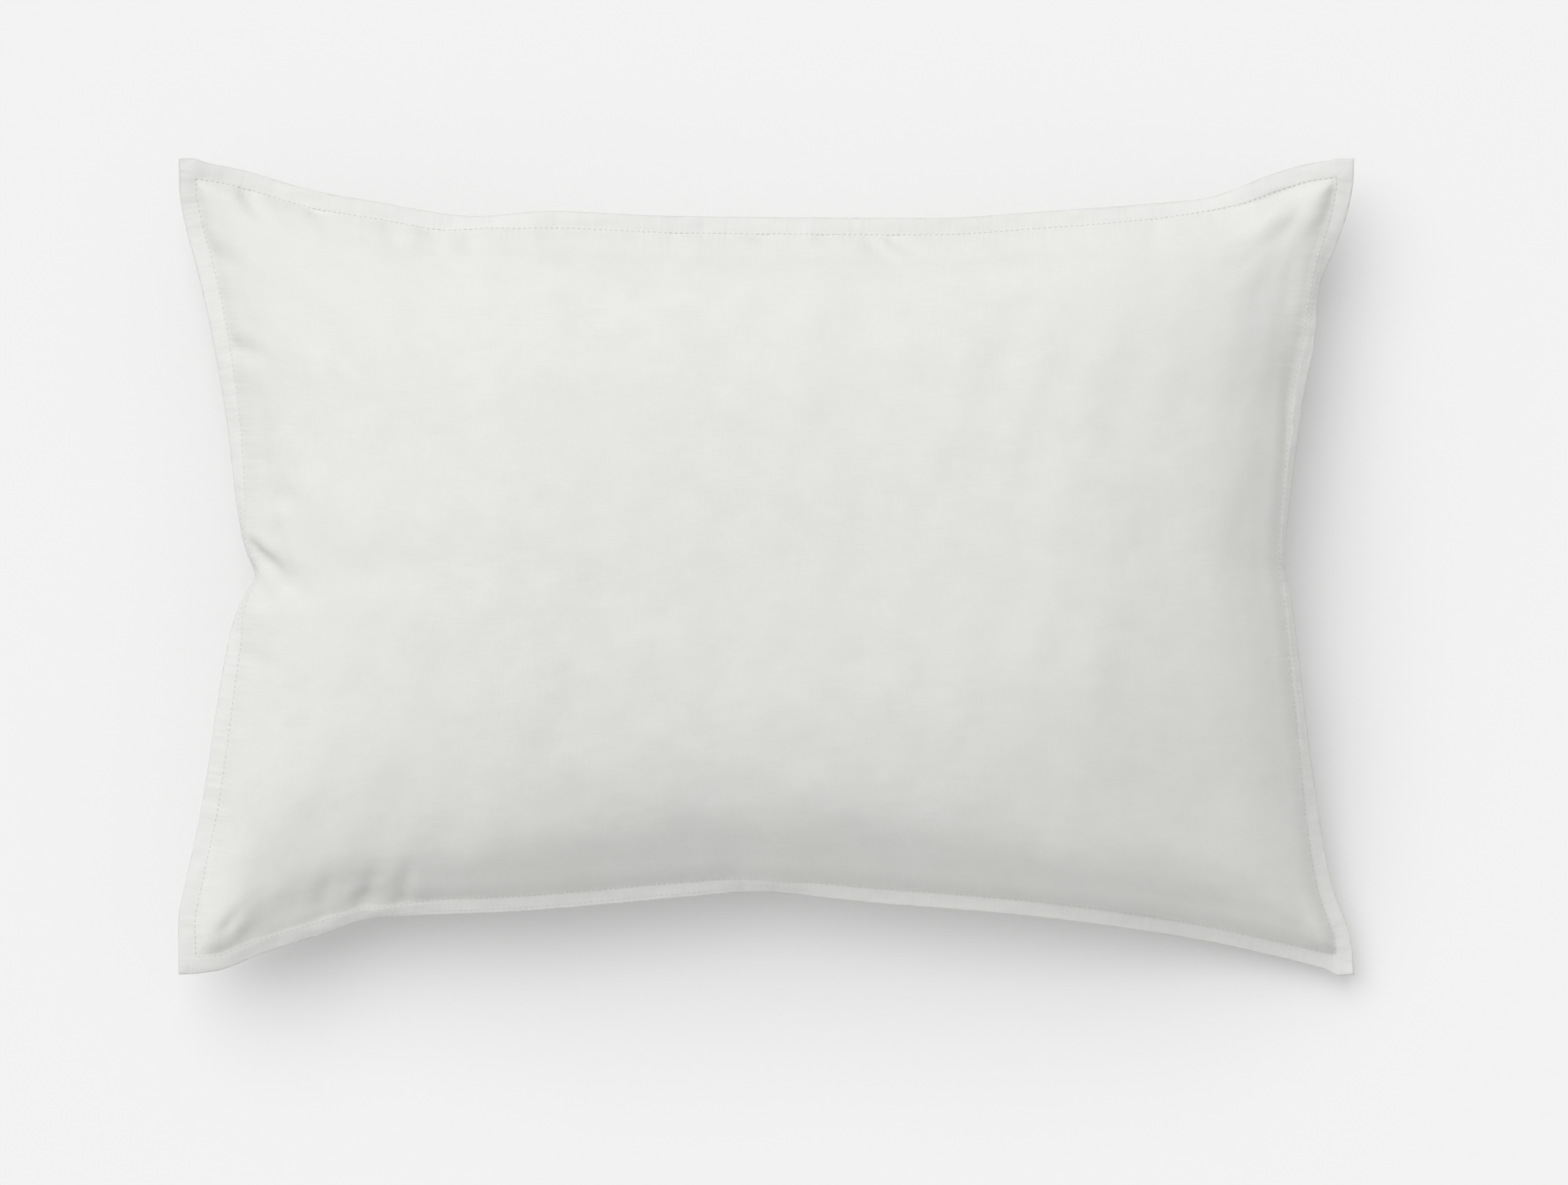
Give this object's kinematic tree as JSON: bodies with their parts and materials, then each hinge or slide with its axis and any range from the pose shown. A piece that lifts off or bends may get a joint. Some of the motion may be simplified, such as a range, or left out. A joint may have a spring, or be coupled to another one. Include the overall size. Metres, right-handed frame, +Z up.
{
  "type": "bed pillow",
  "caption": "Rectangular bed pillow of white cotton ticking with a feather filling, a crowned body and a narrow topstitched flange all round.",
  "frame": {"origin": "on the resting surface, under the middle of the pillow's outline", "axes": "+X along the long side, +Y towards the back long side, +Z up through the crown"},
  "size_m": [0.692, 0.48, 0.16],
  "materials": {
    "ticking": "closely woven matt off-white cotton ticking",
    "filling": "loose white feather and down",
    "thread": "white polyester sewing thread, slight sheen",
    "label": "blank white satin tape"
  },
  "bodies": {
    "root": {"top_panel": "ticking", "bottom_panel": "ticking", "feather_fill": "filling", "joining_seam_thread": "thread", "overlock_thread": "thread", "topstitch_needle_thread": "thread", "topstitch_bobbin_thread": "thread", "opening_closing_thread": "thread", "care_label": "label"}
  },
  "joints": []
}
